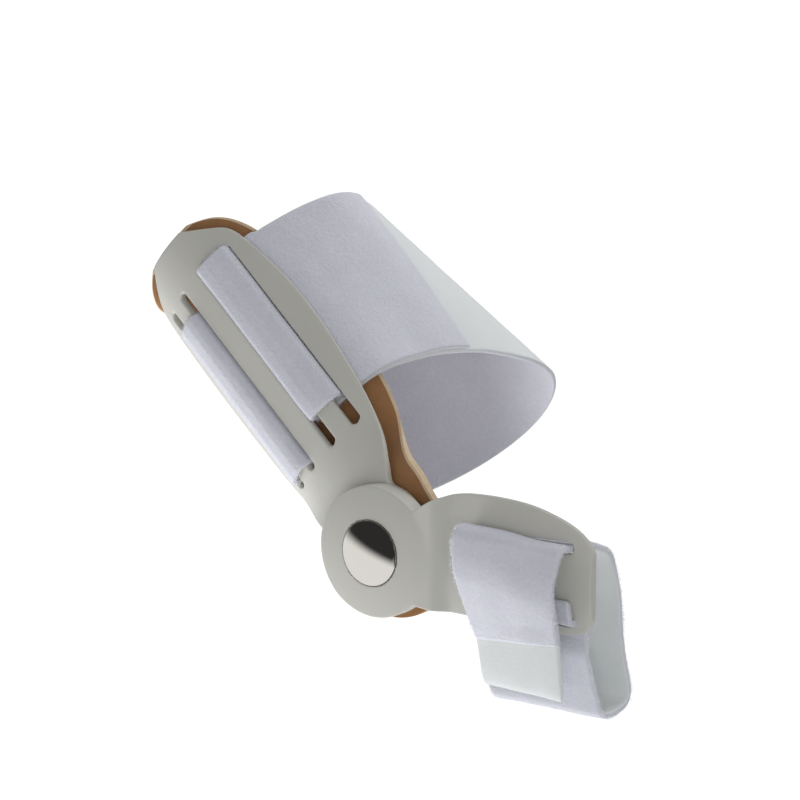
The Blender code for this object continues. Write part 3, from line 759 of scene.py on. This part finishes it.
def toePlateShell():
    near, rounding = arm["support"], arm["slotRound"]
    upper, lower = arm["barTop"] + arm["slot"], arm["barBottom"] - arm["slot"]
    first, second = arm["discStops"]
    start, end = arm["slotStart"], arm["slotEnd"]
    columns = stations(
        -arm["disc"], 1, near - arm["disc"], 9, 0.0, 6, first, 4, second, 3, arm["rampStart"], 6,
        arm["rampEnd"], 2, start - near, 1, start, 1, start + rounding + near, 14, end - rounding - near, 1,
        end, 3, arm["length"] - near / 2, 1, arm["length"])

    def heights(x):
        top, bottom = armEdges(x)
        above = min(1.0, (top - arm["rail"]) / upper)
        below = min(1.0, (bottom + arm["rail"]) / lower)
        up, down = near * above, near * below
        marks = stations(bottom, 1, bottom + near, 1, (bottom + near + lower * below - down) / 2, 1,
                         lower * below - down, 1, lower * below, 2, arm["barBottom"] * below, 1,
                         arm["barBottom"] * below + down, 6, arm["barTop"] * above - up, 1,
                         arm["barTop"] * above, 2, upper * above, 1, upper * above + up, 1,
                         (upper * above + up + top - near) / 2, 1, top - near, 1, top)
        even = stations(-1.0, 1, near / arm["disc"] - 1.0, len(marks) - 3, 1.0 - near / arm["disc"], 1, 1.0)
        blend = smoothStep(x, 0.0, start - near)
        middle, half = (top + bottom) / 2, (top - bottom) / 2
        return [middle + half * share + (mark - middle - half * share) * blend
                for mark, share in zip(marks, even)]

    slotRows = heights(start)
    slots = [k for k, z in enumerate(slotRows)
             if min(abs(z - lower), abs(z - arm["barTop"])) < tiny]
    holes = [(start, end, k, k + 2) for k in slots]

    def place(x, row, side):
        z = heights(max(x, 0.0))[round(row)]
        top, bottom = armEdges(max(x, 0.0))
        for slotEdge, inwards in ((start, 1), (end, -1)):
            if abs(x - slotEdge) < tiny and any(round(row) in (k, k + 2) for k in slots):
                x += inwards * rounding
        if x < 0:
            x, z = roundEnd(x, z / arm["disc"], arm["disc"])
        edge = min(abs((2 * z - top - bottom) / (top - bottom)), 1.0)
        ramp = smoothStep(x, arm["rampStart"], arm["rampEnd"] - arm["rampStart"])
        curl = arm["endCurl"] * smoothStep(x, arm["strapMiddle"], 2 * (arm["length"] - arm["strapMiddle"]))
        crown = arm["crown"] * ramp * edge ** 2
        dome = arm["dome"] * min(hypot(x, z) / arm["disc"], 1.0) ** arm["domePower"] * (1 - ramp)
        face = levels["discFace"] - dome + (levels["armFace"] - levels["discFace"]) * ramp - curl - crown
        back = levels["discBack"] + (levels["armFace"] - arm["wall"] - levels["discBack"]) * ramp - curl
        return Vector((x, -(face + (back - face) * side), z))

    bm = thickSheet(flatGrid(columns, list(range(len(slotRows))), holes), place, arm["edgeSupports"])
    piece = subdivide(makePiece("toePlateShell", bm, [finishes["platePlastic"]]), 2)
    recess = rivet["capRadius"] + fitGap
    bore = rivet["pin"] + fitGap
    profile = [(0.0, levels["capTop"]), (recess, levels["capTop"]), (recess, levels["recessFloor"]),
               (bore, levels["recessFloor"]), (bore, levels["lobeBack"]), (0.0, levels["lobeBack"])]
    cutter = makePiece("recessCutter", spinProfile(bmesh.new(), profile, rivet["boreSteps"]), [])
    cut = piece.modifiers.new("recess", "BOOLEAN")
    cut.operation = "DIFFERENCE"
    cut.object = cutter
    cut.solver = "EXACT"
    applyModifiers(piece)
    bpy.data.objects.remove(cutter)
    bm = bmesh.new()
    bm.from_mesh(piece.data)

    def onLip(vert):
        return (abs(hypot(vert.co.x, vert.co.z) - recess) < arm["lipReach"]
                and -vert.co.y > levels["recessFloor"] + fitGap)

    lip = [edge for edge in bm.edges if all(onLip(vert) for vert in edge.verts)]
    bmesh.ops.bevel(bm, geom=lip, offset=arm["lip"], offset_type="OFFSET", segments=3, profile=0.5,
                    affect="EDGES", material=-1)
    bm.to_mesh(piece.data)
    bm.free()
    piece.data.shade_smooth()
    piece.data.set_sharp_from_angle(angle=radians(45.0))
    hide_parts("toe_plate")
    return piece


# toe strap

toeStrap = {
    "wall": 0.0019, "width": 0.0325, "middle": 0.0480, "lean": 0.0050, "fold": 0.0050, "drop": 0.0390,
    "depth": 0.0290, "bend": 0.0015, "wave": 0.00045, "arcSteps": 7, "seamWall": 0.62, "tabWall": 0.75,
    "hem": 0.475, "railRow": 6, "fibres": {"count": 6000, "edgeShare": 0.7, "seed": 7},
    # depth behind the arm's face and height, near edge then far edge, and corner radius, as shares
    "loop": (
        (0.110, -0.487, 0.169, -0.500, 0.250), (0.110, -0.740, 0.240, -0.760, 0.500),
        (0.130, -0.925, 0.330, -0.975, 0.140), (0.420, -0.960, 0.500, -0.985, 0.750),
        (0.700, -0.940, 0.870, -0.955, 0.200), (0.690, -0.600, 0.775, -0.560, 0.750),
        (0.700, -0.200, 0.830, -0.180, 0.500), (0.640, 0.128, 0.730, 0.123, 0.190)),
    "front": (
        (-0.100, 0.330, -0.070, 0.262, 0.060), (-0.275, 0.300, -0.150, 0.235, 0.110),
        (-0.285, 0.064, -0.307, -0.026, 0.500),
        (-0.072, -0.369, -0.279, -0.256, 0.500), (-0.005, -0.485, -0.272, -0.380, 0.500),
        (0.032, -0.840, -0.290, -0.775, 0.0)),
}


def toeStrapEdges():
    bend = toeStrap["bend"]
    half = toeStrap["wall"] / 2
    front = -(levels["armFace"] + fitGap + half)
    behind = -(levels["armFace"] - arm["wall"] - arm["endCurl"] - fitGap - half)
    lowSlot = arm["barBottom"] - arm["slot"] / 2
    topSlot = arm["barTop"] + arm["slot"] / 2
    railBottom = arm["halfHeight"] * arm["outline"][toeStrap["railRow"]][2]
    shared = [(front, lowSlot + toeStrap["fold"] + bend, 0), (front, lowSlot, bend), (behind, lowSlot, bend),
              (behind, railBottom - bend, bend)]
    slot = [(behind + arm["slot"], topSlot, arm["slot"]), (front, topSlot, arm["slot"])]

    def read(table, column):
        return [(toeStrap["depth"] * row[column] - levels["armFace"], toeStrap["drop"] * row[column + 1],
                 toeStrap["drop"] * row[4]) for row in table]

    return [fillet(shared + read(toeStrap["loop"], column) + slot + read(toeStrap["front"], column),
                   toeStrap["arcSteps"]) for column in (0, 2)]


def toeStrapCloth():
    nearEdge, farEdge = toeStrapEdges()
    rows = stations(-0.5, 1, -toeStrap["hem"], 8, toeStrap["hem"], 1, 0.5)

    def point(k, share):
        place = nearEdge[k].lerp(farEdge[k], share + 0.5)
        lean = toeStrap["lean"] * max(-place.y, 0.0) / toeStrap["drop"]
        return Vector((toeStrap["middle"] + toeStrap["width"] * share + lean, place.x, place.y))

    seam = len(nearEdge) - 2 - toeStrap["arcSteps"] // 2  # the hook tab is sewn on here

    def wallShare(k):
        if k > seam:
            return toeStrap["tabWall"]
        return toeStrap["seamWall"] if k == seam else 1.0

    piece, length = strapPiece("toeStrapCloth", len(nearEdge), rows, point, toeStrap["width"],
                               toeStrap["wall"], toeStrap["wave"], wallShare,
                               tapeFaces=[(seam, len(nearEdge))])
    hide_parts("toe_strap")
    print("toe strap flat length", round(length, 4))
    loose = clothFuzz("toeStrapFuzz", point, len(nearEdge), toeStrap["wall"], 1, [(0, seam)],
                      **toeStrap["fibres"])
    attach(loose, "toe")
    return piece


# stage, light and camera

stage = {"floorLevel": -0.05, "floorSize": 60.0, "white": (0.25, 0.25, 0.25), "roughness": 0.9,
         "glow": 0.30, "seenGlow": 0.95}
cameraView = {"azimuth": radians(37.0), "elevation": radians(10.0), "distance": 0.700, "focal": 2520.0,
              "centre": (365.0, 554.6), "aim": (0.0, -0.0168, 0.0), "sensor": 36.0, "picture": 800.0}


def setCamera():
    a, e, d, f = (cameraView[key] for key in ("azimuth", "elevation", "distance", "focal"))
    right = Vector((cos(a), sin(a), 0.0))
    back = Vector((sin(a) * cos(e), -cos(a) * cos(e), sin(e)))
    up = back.cross(right)
    half = cameraView["picture"] / 2
    x, y = cameraView["centre"][0] - half, half - cameraView["centre"][1]
    place = Vector(cameraView["aim"]) + back * d - right * x * d / f - up * y * d / f
    made = bpy.data.cameras.new("studioCamera")
    made.sensor_width = cameraView["sensor"]
    made.lens = f / cameraView["picture"] * cameraView["sensor"]
    made.clip_start = 0.01
    seen = bpy.data.objects.new("studioCamera", made)
    seen.matrix_world = Matrix.Translation(place) @ Matrix((right, up, back)).transposed().to_4x4()
    bpy.context.scene.collection.objects.link(seen)
    bpy.context.scene.camera = seen


lamps = {  # place, aim, size and power
    "keyLow": ((-0.15, -0.09, -0.25), (0.0, 0.0, 0.01), 0.22, 0.72),
    "edgeLow": ((-0.26, 0.035, -0.20), (0.0, 0.0, 0.01), 0.16, 0.6),
    "rimHigh": ((0.02, 0.42, 0.50), (0.0, 0.0, 0.03), 0.35, 2.0),
    "sideFill": ((0.45, -0.50, 0.05), (0.0, 0.0, 0.01), 0.3, 0.8),
}


def softLight(name, place, aim, size, power):
    made = bpy.data.lights.new(name, "AREA")
    made.shape = "DISK"
    made.size = size
    made.energy = power
    lamp = bpy.data.objects.new(name, made)
    lamp.visible_glossy = False
    turn = (Vector(place) - Vector(aim)).to_track_quat("Z", "Y").to_matrix().to_4x4()
    lamp.matrix_world = Matrix.Translation(place) @ turn
    bpy.context.scene.collection.objects.link(lamp)


sky = {
    "from": (-0.15, 0.65), "to": (0.46, 0.42),
    "mirrorTilt": 0.35, "mirrorFrom": (-0.46, -0.24), "mirrorTo": (0.80, 0.025),
}


def setWorld():  # an even white studio; polished metal mirrors its bright low side and dark room
    world = bpy.data.worlds.new("studio")
    world.use_nodes = True
    tree = world.node_tree
    link = tree.links.new
    paint = tree.nodes["Background"]
    place = tree.nodes.new("ShaderNodeTexCoord")
    split = tree.nodes.new("ShaderNodeSeparateXYZ")
    link(place.outputs["Generated"], split.inputs["Vector"])
    tilt = tree.nodes.new("ShaderNodeMath")
    tilt.operation = "MULTIPLY_ADD"
    tilt.inputs[1].default_value = sky["mirrorTilt"]
    link(split.outputs["X"], tilt.inputs[0])
    link(split.outputs["Z"], tilt.inputs[2])
    falls = []
    for source, start, end in ((split.outputs["Z"], "from", "to"),
                               (tilt.outputs["Value"], "mirrorFrom", "mirrorTo")):
        fall = tree.nodes.new("ShaderNodeMapRange")
        fall.interpolation_type = "SMOOTHSTEP"
        fall.inputs["From Min"].default_value, fall.inputs["From Max"].default_value = sky[start]
        fall.inputs["To Min"].default_value, fall.inputs["To Max"].default_value = sky[end]
        link(source, fall.inputs["Value"])
        falls.append(fall)
    ray = tree.nodes.new("ShaderNodeLightPath")
    glossy, seen = (tree.nodes.new("ShaderNodeMix") for _ in range(2))
    seen.inputs["B"].default_value = 1.0
    link(ray.outputs["Is Glossy Ray"], glossy.inputs["Factor"])
    link(falls[0].outputs["Result"], glossy.inputs["A"])
    link(falls[1].outputs["Result"], glossy.inputs["B"])
    link(ray.outputs["Is Camera Ray"], seen.inputs["Factor"])
    link(glossy.outputs["Result"], seen.inputs["A"])
    link(seen.outputs["Result"], paint.inputs["Strength"])
    paint.inputs["Color"].default_value = (1.0, 1.0, 1.0, 1.0)
    bpy.context.scene.world = world


def setStage(lowest):
    bm = bmesh.new()
    bmesh.ops.create_grid(bm, x_segments=1, y_segments=1, size=stage["floorSize"] / 2)
    bmesh.ops.translate(bm, verts=bm.verts, vec=(0, 0, lowest + stage["floorLevel"]))
    paper = bpy.data.materials.new("studioPaper")
    paper.use_nodes = True
    shader = paper.node_tree.nodes["Principled BSDF"]
    shader.inputs["Base Color"].default_value = (*stage["white"], 1.0)
    shader.inputs["Roughness"].default_value = stage["roughness"]
    shader.inputs["Emission Color"].default_value = (1.0, 1.0, 1.0, 1.0)
    ray = paper.node_tree.nodes.new("ShaderNodeLightPath")
    glow = paper.node_tree.nodes.new("ShaderNodeMix")
    glow.inputs["A"].default_value, glow.inputs["B"].default_value = stage["glow"], stage["seenGlow"]
    paper.node_tree.links.new(ray.outputs["Is Camera Ray"], glow.inputs["Factor"])
    paper.node_tree.links.new(glow.outputs["Result"], shader.inputs["Emission Strength"])
    floor = makePiece("studioFloor", bm, [paper])
    floor.visible_glossy = floor.visible_shadow = False  # the low lights shine up through it
    floor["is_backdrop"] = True


# assembly

for name, build, body in (("plate", plateShell, "midfoot"), ("pad", footPad, "midfoot"),
                          ("midfoot strap", midfootStrap, "midfoot"), ("rivet", hingeRivet, "midfoot"),
                          ("toe plate", toePlateShell, "toe"), ("toe strap", toeStrapCloth, "toe")):
    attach(build(), body)
    print(name, "built")

setCamera()
setWorld()
setStage(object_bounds()[0].z)
for name, lamp in lamps.items():
    softLight(name, *lamp)
bpy.context.scene.view_settings.view_transform = "Standard"
print("stage, light and camera set")
